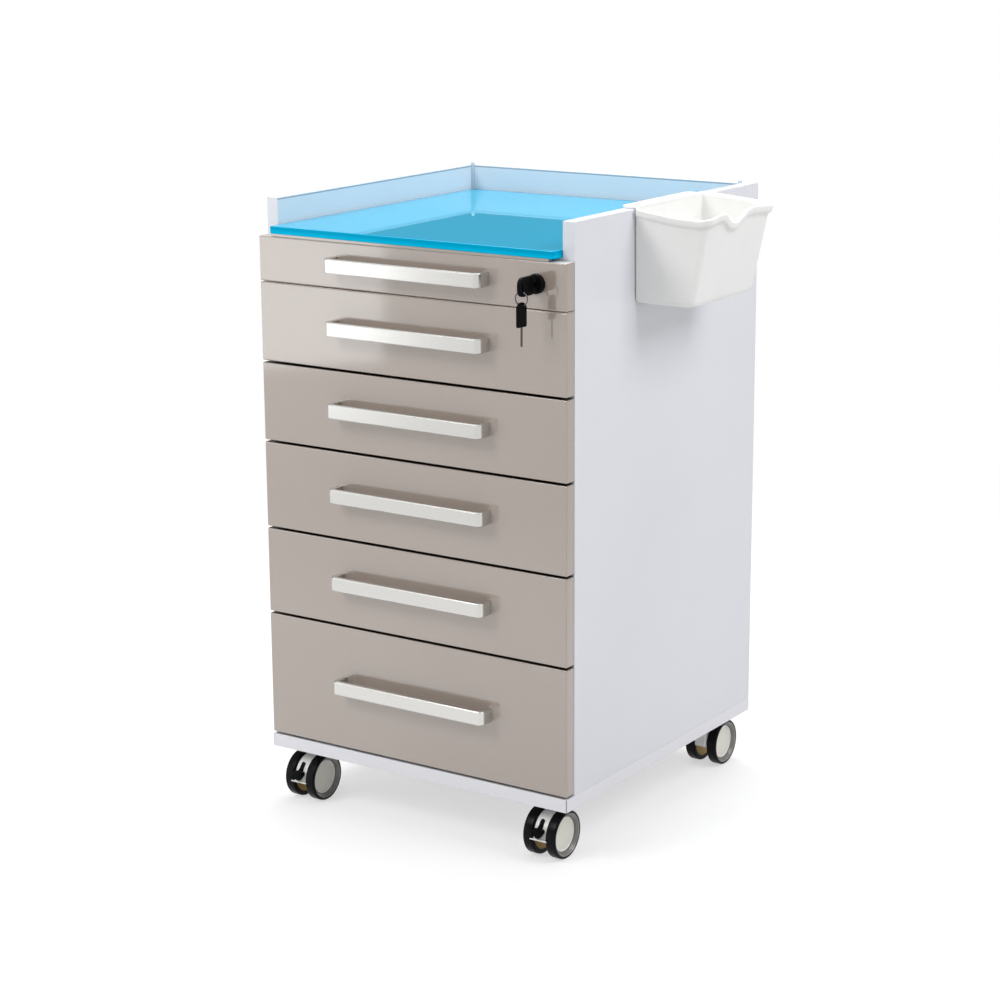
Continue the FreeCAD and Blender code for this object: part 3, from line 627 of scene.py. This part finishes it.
def buildWheels(place, word):
    wheel = {"width": 13.4, "spacing": 33.4, "bulge": 1.2, "shoulder": 2.4, "bore": 28.8, "lip": 28.4,
             "boreRound": 0.4, "webRound": 0.3, "grooves": (27, 25.4), "groove": 1.1,
             "grooveWidth": 0.7, "foot": 24.3, "wallInner": 1, "wallBack": 1, "well": 5.4,
             "disc": 23.4, "dish": 4.4, "dishEdge": 0.3, "dishMiddle": 0.1, "rim": 1.7, "rimHigh": 0.6,
             "rimRound": 0.4, "rimLap": 0.3, "web": 25.6, "webRim": 1.2, "webThick": 1.2,
             "axle": 3.9, "axleLap": 1, "ease": 0.2, "crease": 28, "tyreCrease": 50,
             "steps": 128, "axleSteps": 32, "roundSteps": 8}
    body = f"caster_{word}_wheels"
    node = f"caster_{word}_tyres"
    hubs = [f"caster_{word}_hubs"]
    centre = middleOf(node)
    radius = (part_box(node)[1].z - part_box(node)[0].z)/2/mm
    half, ease = wheel["width"]/2, wheel["ease"]
    # The tyre and the hub's lip stand out on the outer side, which sets the disc deeper
    outer = half + wheel["bulge"]
    web, bore, shoulder = wheel["web"], wheel["bore"], wheel["shoulder"]
    tyre = rounded([(web + ease, -half), (radius, -half), (radius, outer), (bore, outer)],
                   [wheel["webRound"], shoulder, shoulder, wheel["boreRound"]], wheel["roundSteps"])
    cut, well = wheel["groove"], half - wheel["well"]

    def cone(edge):
        # The level of the cone between the lip and the disc, which falls as fast as it narrows
        return outer - (wheel["lip"] - edge)

    within, back, foot = wheel["wallInner"], -half + wheel["wallBack"], wheel["foot"]
    wall = [(within, back), (bore, back), (bore, outer - ease), (wheel["lip"], outer)]
    for start in wheel["grooves"]:
        end = start - wheel["grooveWidth"]
        wall += [(start, cone(start)), (start, cone(start) - cut), (end, cone(start) - cut),
                 (end - ease/2, cone(end - ease/2) + ease)]
    wall += [(foot, cone(foot)), (foot, well), (within, well)]
    # The disc is a shallow dish inside a raised rim
    disc, floor = wheel["disc"], half - wheel["dish"]
    inner, crest = disc - wheel["rim"], floor + wheel["rimHigh"]
    cap = [(inner, well - ease), (inner, floor - wheel["dishEdge"]),
           (disc/2, floor - wheel["dishMiddle"]), (core, floor)]
    bend, lap = wheel["rimRound"], wheel["rimLap"]
    rim = [(inner - lap, well - ease), (disc, well - ease), (disc, crest - bend), (disc - bend, crest),
           (inner, crest), (inner - lap, crest - lap)]
    # The brass web on the inner side has a raised edge
    step, thick = web - wheel["webRim"], wheel["webThick"]
    plate = [(core, -half + thick), (core, -half + thick/2), (step, -half + thick/2),
             (step + ease, -half + ease), (web - ease, -half + ease), (web, -half + 2*ease),
             (web, -half + thick)]

    def pair(profile, closed=False):
        sides = [(way, centre + Vector((way*wheel["spacing"]/2, 0, 0))) for way in (-1, 1)]
        return [lathe(profile, side, "X", way, wheel["steps"], closed) for way, side in sides]

    reach = wheel["spacing"]/2 - half + wheel["axleLap"]
    axle = lathe([(wheel["axle"], -reach), (wheel["axle"], reach)], centre, "X", 1, wheel["axleSteps"])
    crease = wheel["crease"]
    solid(place + "Tyres", pair(tyre, True), "tyre", body, [node], wheel["tyreCrease"])
    solid(place + "HubWalls", pair(wall), "wall", body, hubs, crease)
    solid(place + "HubDiscs", pair(cap), "disc", body, hubs, crease)
    solid(place + "HubRims", pair(rim, True), "rim", body, hubs, crease)
    solid(place + "HubWebs", pair(plate) + [axle], "brass", body, hubs, crease)


def buildHousing(place, word):
    # The closed side of the casting faces the nearer end of the cabinet, away from the swivel
    case = {"radius": 29.5, "half": 9.3, "drop": 2.6, "lipOuter": 34, "lipInner": 32.9, "lipHalf": 12.8,
            "lipHigh": -0.8, "neck": 26, "neckRound": 2.5, "cup": 15, "cupRound": 0.5, "headLow": 65.5,
            "headHigh": 68.1, "pin": 5, "pinTop": 75.6, "trail": 20, "bridgeLap": 2, "lipLap": 0.2,
            "neckLap": 0.3, "pinLap": 1, "soft": 0.4, "steps": 48, "headSteps": 64, "pinSteps": 32}
    body = f"caster_{word}"
    centre = middleOf(f"caster_{word}_tyres")
    end = -1 if centre.y < 0 else 1

    def at(across, ahead, up):
        return (centre.x + across, centre.y + end*ahead, centre.z + up)

    cut = math.degrees(math.asin(case["drop"]/case["radius"]))
    outline = arc(case["radius"], -cut, 180 + cut, case["steps"])
    hood = prism(outline, -case["half"], case["half"], lambda point, level: at(level, point.x, point.y))
    bridge = block(at(-case["half"], case["radius"] - case["bridgeLap"], -case["drop"]),
                   at(case["half"], case["lipInner"] + case["lipLap"], case["lipHigh"]))
    lip = block(at(-case["lipHalf"], case["lipInner"], -case["drop"]),
                at(case["lipHalf"], case["lipOuter"], case["lipHigh"]))
    pivotY = centre.y - end*case["trail"]
    pivot = (centre.x, pivotY, 0)
    wide, deep, low, high = case["half"], case["neck"]/2, case["headLow"], case["headHigh"]
    stalk = rounded([(-wide, -deep), (wide, -deep), (wide, deep), (-wide, deep)], [case["neckRound"]]*4)
    neck = prism(stalk, centre.z, high - case["neckLap"],
                 lambda point, level: (centre.x + point.x, pivotY + point.y, level))
    cup, ease = case["cup"], case["cupRound"]
    head = lathe([(core, low), (cup - ease, low), (cup, low + ease), (cup, high - ease),
                  (cup - ease, high), (core, high)], pivot, "Z", 1, case["headSteps"])
    shell = solid(place + "Hood", [hood, bridge, lip, neck, head], "hood", body,
                  [f"caster_{word}_housing"])
    softEdges(shell, case["soft"])
    pin = lathe([(case["pin"], high - case["pinLap"]), (case["pin"], case["pinTop"])], pivot, "Z", 1,
                case["pinSteps"])
    solid(place + "Pin", [pin], "plate", body)


def buildLever(place, word):
    # A shield-shaped pad below a narrow stem with a round end, both curved about the axle
    lever = {"padRadius": 37.2, "padInner": 33.2, "padHalf": 7.4, "padLap": 3, "stemRadius": 31.6,
             "stemInner": 25, "stemHalf": 2.7, "stemTop": 130.5, "stemRound": 4.9, "stemEase": 0.5,
             "stemGrowth": 0.4, "stemRise": 3, "stemSeat": 2, "tipLeast": 14, "tipStep": 15,
             "soft": 0.25, "easeSteps": 4}
    centre = middleOf(f"caster_{word}_tyres")

    def ring(angle, inner, outer, half, ease):
        # The section at an angle measured from the back over the top, so that 180 points to the front
        turn = math.radians(angle)
        section = rounded([(-half, inner), (-half, outer), (half, outer), (half, inner)],
                          [0, ease, ease, 0], lever["easeSteps"])
        return [(centre.x + point.x, centre.y + point.y*math.cos(turn),
                 centre.z + point.y*math.sin(turn)) for point in section]

    # Angle, share of the half width and share of the pad's thickness
    padShape = ((156, 0.72, 0.3), (156.6, 0.8, 0.7), (158, 0.93, 0.95), (160.5, 1, 1), (164, 0.97, 1),
                (168, 0.82, 1), (172, 0.62, 1), (175.5, 0.44, 0.95), (178, 0.3, 0.7), (178.8, 0.22, 0.4))
    seat, thick = lever["padInner"], lever["padRadius"] - lever["padInner"]
    pad = loft([ring(angle, seat - lever["padLap"], seat + thick*tall, lever["padHalf"]*wide, wide)
                for angle, wide, tall in padShape])
    # The stem's round end, then its straight run into the pad
    inside, outside, half = lever["stemInner"], lever["stemRadius"], lever["stemHalf"]
    tip = [(lever["stemTop"] + lever["stemRound"]*(1 - math.cos(math.radians(turn))),
            math.sin(math.radians(max(turn, lever["tipLeast"]))))
           for turn in range(0, 91, lever["tipStep"])]
    risen, sunk = inside + lever["stemRise"], seat + lever["stemSeat"]
    shaft = ((150, inside, outside + lever["stemGrowth"]), (158, risen, sunk), (168, risen, sunk))
    ease = lever["stemEase"]
    stem = loft([ring(angle, inside, outside, half*wide, ease*wide) for angle, wide in tip] +
                [ring(angle, inner, outer, half, ease) for angle, inner, outer in shaft])
    piece = solid(place + "Lever", [pad, stem], "lever", f"brake_lever_{word}",
                  [f"brake_lever_{word}"], crease=40)
    softEdges(piece, lever["soft"])


for place, word in casters.items():
    buildWheels(place, word)
    buildHousing(place, word)
    if word.startswith("front"):
        buildLever(place, word)
print("casters built")


# Bin

def buildBin():
    size = {"topWidth": 107.5, "topLength": 172, "bottomWidth": 84, "bottomLength": 159,
            "bottomShift": -4.8, "wallCorner": 4, "outerCorner": 7, "cornerGrowth": 4, "wall": 2.2,
            "foot": 8, "floor": 714.6, "bandFoot": 14, "slope": 4.1, "middle": 57,
            "hook": 3, "hookLip": 12, "hookReach": 21.8, "hookBack": 2.4, "hookInset": 1.5, "lipInset": 9,
            "lipLap": 0.5, "hookRound": 8, "hookFold": 0.6, "lipRound": 6, "hookSoft": 0.9,
            "bandFade": 3, "cornerSteps": 10, "sideSteps": 44, "flankSteps": 14, "footSteps": 6,
            "hookSteps": 8}
    # The rim's turned-over band: how far it stands out of the flank, and how far under the rim
    band = ((0.3, 12.2), (1.6, 10.6), (3.4, 9.6), (4.3, 8.2), (4.5, 6.5), (4.5, 2.2), (4.2, 0.9),
            (3.4, 0.2), (2.4, 0), (1, 0.1), (-0.6, 0.5), (-1.6, 1.4), (-2.2, 3), (-2.2, 6))
    # Height of the rim over its even slope, in degrees round from the outer side and millimetres
    rimWave = ((-180, -0.6), (-125, -1.5), (-108, -3.8), (-87, -5.4), (-66, -4.3), (-57, -1.6),
               (-50, 1.6), (-45, 1.6), (-40, -1), (-32, -8.8), (-24, -11.7), (-11, -12.7), (2, -6.4),
               (16, 1), (28, 2.8), (44, 1.4), (57, -0.7), (75, 1.4), (110, 1.8), (180, -0.6))
    low, high = [corner/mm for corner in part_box("waste_bin")]
    wallX = low.x + size["hookReach"]
    rimZ, floorZ = high.z, size["floor"]
    height = rimZ - floorZ
    lean = math.tan(math.radians(size["slope"]))

    def outline(share):
        # Points of the skin in plan at a share of the height, each with the way that it faces
        width = size["bottomWidth"] + (size["topWidth"] - size["bottomWidth"])*share
        half = (size["bottomLength"] + (size["topLength"] - size["bottomLength"])*share)/2
        shift = size["bottomShift"]*(1 - share)
        outer, inner = size["outerCorner"] + size["cornerGrowth"]*share, size["wallCorner"]
        # The middle of each corner's arc, its radius and its first angle
        spots = ((width - outer, shift - half + outer, outer, -90),
                 (width - outer, shift + half - outer, outer, 0),
                 (inner, shift + half - inner, inner, 90),
                 (inner, shift - half + inner, inner, 180))
        steps, sideSteps = size["cornerSteps"], size["sideSteps"]
        points = []
        for index, (x, y, radius, start) in enumerate(spots):
            facings = arc(1, start, start + 90, steps)
            points += [(Vector((x, y)) + facing*radius, facing) for facing in facings]
            nextX, nextY, nextRadius = spots[(index + 1) % 4][:3]
            first = Vector((x, y)) + facings[-1]*radius
            last = Vector((nextX, nextY)) + facings[-1]*nextRadius
            points += [(first.lerp(last, step/sideSteps), facings[-1]) for step in range(1, sideSteps)]
        return points

    def wave(point):
        angle = math.degrees(math.atan2(point.y, point.x - size["middle"]))
        for (start, first), (end, last) in zip(rimWave, rimWave[1:]):
            if start <= angle <= end:
                share = (angle - start)/(end - start)
                return first + (last - first)*share*share*(3 - 2*share)

    bottom, top = outline(0), outline(1)
    rimLevels = [rimZ - lean*point.x + wave(point) for point, facing in top]

    def ring(out, levels):
        # out is how far the ring stands out of the flank, less and less towards the wall
        points = []
        for (foot, facing), (rim, same), level in zip(bottom, top, levels):
            fade = min(max(-facing.x, 0)*size["bandFade"], 1)
            reach = out*(1 - fade) if out > 0 else out
            spot = foot.lerp(rim, (level - floorZ)/height) + facing*reach
            points.append((wallX + spot.x, spot.y, level))
        return points

    def footRing(turn, inset, lift):
        # The foot of the skin curves under, from the flank at a turn of a quarter to the floor at 0
        rise = size["foot"]*(1 - math.cos(turn))
        return ring(-inset - size["foot"]*(1 - math.sin(turn)), [floorZ + lift + rise]*len(rimLevels))

    def flankRing(share, inset):
        reach = share/(1 - size["bandFoot"]/height)
        return ring(-inset, [floorZ + (level - size["bandFoot"] - floorZ)*reach for level in rimLevels])

    turns = [math.pi/2*step/size["footSteps"] for step in range(size["footSteps"] + 1)]
    start, end = size["foot"]/height, 1 - size["bandFoot"]/height
    shares = [start + (end - start)*step/size["flankSteps"] for step in range(1, size["flankSteps"] + 1)]
    rings = [footRing(turn, 0, 0) for turn in turns]
    rings += [flankRing(share, 0) for share in shares]
    rings += [ring(out, [level - below for level in rimLevels]) for out, below in band]
    rings += [flankRing(share, size["wall"]) for share in reversed(shares)]
    rings += [footRing(turn, size["wall"], size["wall"]) for turn in reversed(turns)]
    solid("wasteBin", [loft(rings)], "bin", "waste_bin", ["waste_bin"], crease=60)

    # The hook over the side panel: a flat plate and the lip behind it
    start, end, half = low.x, wallX + size["hookBack"], size["topLength"]/2 - size["hookInset"]
    under = rimZ - size["hook"]
    ends, fold, bend = size["hookRound"], size["hookFold"], size["lipRound"]
    flat = rounded([(start, -half), (end, -half), (end, half), (start, half)],
                   [ends, fold, fold, ends], size["hookSteps"])
    plate = prism(flat, under, rimZ, lambda point, level: (point.x, point.y, level))
    half, foot, top = half - size["lipInset"], under - size["hookLip"], under + size["lipLap"]
    drop = rounded([(-half, top), (-half, foot), (half, foot), (half, top)], [0, bend, bend, 0])
    lip = prism(drop, start, start + size["hook"], lambda point, level: (level, point.x, point.y))
    piece = solid("wasteBinHook", [plate, lip], "bin", "waste_bin")
    softEdges(piece, size["hookSoft"], steps=3)


buildBin()
print("bin built")


# Lock and keys

# The bevels of a key's head, round its outline and then round its eye: the share of the size and the
# share of half the thickness
headBevels = ((0.93, 1), (0.985, 0.8), (1, 0.4), (1, -0.4), (0.985, -0.8), (0.93, -1))
eyeBevels = ((1.12, -1), (1, -0.75), (1, 0.75), (1.12, 1))
eyeRound = 0.9  # of half the eye's width
headSteps = 8
bladeSteps = 4


def keyHead(key, lift):
    # A key's head as a bevelled slab round a long eye; its outline and eye have as many points each
    length, wide = key["headLength"], key["headWidth"]/2
    radius, foot = key["headRadius"], key["footRadius"]
    outer = rounded([(-length, -wide), (0, -wide), (0, wide), (-length, wide)],
                    [radius, foot, foot, radius], headSteps)
    eyeX, halfX, halfY = key["eyeInset"] - length, key["eyeWidth"]/2, key["eyeLength"]/2
    left, right = eyeX - halfX, eyeX + halfX
    eye = rounded([(left, -halfY), (right, -halfY), (right, halfY), (left, halfY)],
                  [halfX*eyeRound]*4, headSteps)
    half = key["headThick"]/2

    def ring(points, middle, scale, level):
        return [lift(*(middle + (point - middle)*scale), level*half) for point in points]

    middle, hole = Vector((-length/2, 0)), Vector((eyeX, 0))
    rings = [ring(outer, middle, scale, level) for scale, level in headBevels]
    rings += [ring(eye, hole, scale, level) for scale, level in eyeBevels]
    return loft(rings, looped=True)


def keyBlade(key, lift):
    half, thick = key["bladeWidth"]/2, key["bladeThick"]/2
    root, tip = -key["bladeLap"], key["bladeLength"]
    outline = rounded([(root, -half), (tip, -half), (tip, half), (root, half)],
                      [0, half/2, half/2, 0], bladeSteps)
    return prism(outline, -thick, thick, lambda point, level: lift(point.x, point.y, level))


def buildLock():
    lock = {"collar": 12.5, "proud": 6, "shell": 9.5, "depth": 14, "barrel": 6, "gap": 4.5,
            "steps": 96, "barrelSteps": 64}
    key = {"headLength": 31, "headWidth": 24, "headThick": 5, "headRadius": 9, "footRadius": 2.5,
           "bladeWidth": 6.6, "bladeThick": 2, "bladeLength": 27, "bladeLap": 1, "bladeSoft": 0.2,
           "eyeLength": 10, "eyeWidth": 3.6, "eyeInset": 6}
    centre = middleOf("lock_barrel")
    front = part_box("drawer_1_front")[0].y/mm
    face, behind = front - lock["proud"], front + lock["depth"]
    collar, barrel = lock["collar"], lock["barrel"]
    at = Vector((centre.x, 0, centre.z))
    # The housing's skin from behind over the collar's round front to the barrel's bore
    skin = [(lock["shell"], behind), (lock["shell"], front), (collar - 0.4, front),
            (collar, front - 0.4), (collar, face + 1.4), (collar - 0.5, face + 0.5),
            (collar - 1.6, face), (barrel + 1.6, face), (barrel + 1, face + 0.5),
            (barrel + 0.1, face + 0.5), (barrel + 0.1, behind)]
    housing = lathe(skin, at, "Y", 1, lock["steps"], closed=True)
    solid("lockHousing", [housing], "lock", "drawer_1", ["lock_housing"])
    turning = lathe([(core, face + 0.3), (barrel - 0.5, face + 0.3), (barrel, face + 0.8),
                     (barrel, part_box("lock_barrel")[1].y/mm - 2)], at, "Y", 1, lock["barrelSteps"])
    solid("lockBarrel", [turning], "lock", "lock_turning", ["lock_barrel"])
    headEnd = face - lock["gap"]

    def lift(along, up, side):
        return (at.x + side, headEnd + along, at.z + up)

    solid("lockKeyHead", [keyHead(key, lift)], "key", "lock_turning", ["lock_key"],
          crease=35)
    blade = solid("lockKeyBlade", [keyBlade(key, lift)], "lockSteel", "lock_turning")
    softEdges(blade, key["bladeSoft"])


def buildRing():
    # A steel wire wound twice round
    wire = {"radius": 8.6, "thick": 0.55, "turns": 2, "steps": 160, "round": 10, "start": 40,
            "pitch": 0.95}
    middle = middleOf("key_ring")
    tube = []
    for step in range(wire["steps"] + 1):
        share = step/wire["steps"]
        angle = 2*math.pi*wire["turns"]*share + math.radians(wire["start"])
        outward = Vector((math.cos(angle), 0, math.sin(angle)))
        shift = (share - 0.5)*wire["pitch"]*wire["turns"]
        spot = middle + outward*wire["radius"] + Vector((0, shift, 0))
        tube.append([spot + (outward*math.cos(turn) + Vector((0, 1, 0))*math.sin(turn))*wire["thick"]
                     for turn in (2*math.pi*part/wire["round"] for part in range(wire["round"]))])
    solid("keyRing", [loft(tube)], "ring", "key_ring", ["key_ring"], crease=40)


def buildSpareKey():
    key = {"headLength": 31, "headWidth": 17, "headThick": 3.4, "headRadius": 8, "footRadius": 2,
           "bladeWidth": 2.9, "bladeThick": 1.3, "bladeLength": 24, "bladeLap": 1, "bladeSoft": 0.2,
           "eyeLength": 3, "eyeWidth": 2, "eyeInset": 2.6}
    hang = {"turn": -8, "overlap": 5.2}
    ring = middleOf("key_ring")
    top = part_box("key_ring")[0].z/mm + hang["overlap"]
    turned = Matrix.Rotation(math.radians(hang["turn"]), 2)

    def lift(along, up, side):
        # along runs down the key, up lies across its head and side through its thickness
        spot = ring.xy + turned @ Vector((side, up))
        return (spot.x, spot.y, top - key["headLength"] - along)

    solid("spareKeyHead", [keyHead(key, lift)], "key", "key_ring", crease=35)
    blade = solid("spareKeyBlade", [keyBlade(key, lift)], "lockSteel", "key_ring")
    softEdges(blade, key["bladeSoft"])


buildLock()
buildRing()
buildSpareKey()
print("lock built")


# Finishes of the pieces that keep their own solid

def dress(node, finish):
    piece = nodes[node]
    piece.data.materials.clear()
    piece.data.materials.append(finishes[finish].material)


dressed = {"left_side_panel": "board", "right_side_panel": "board", "back_panel": "board",
           "top_board": "board", "base_board": "base", "glass_worktop": "glass",
           "cabinet_runners": "runner", "caster_plates": "plate", "caster_screws": "plate",
           "lock_tongue": "lockSteel"}
boxSoft = 0.6
for node, finish in dressed.items():
    dress(node, finish)
for number in drawers:
    dress(f"drawer_{number}_front", "front")
    dress(f"drawer_{number}_box", "box")
    dress(f"drawer_{number}_inner_runners", "runner")
    dress(f"drawer_{number}_middle_runners", "runner")
    softEdges(nodes[f"drawer_{number}_box"], boxSoft)
print("finishes given")
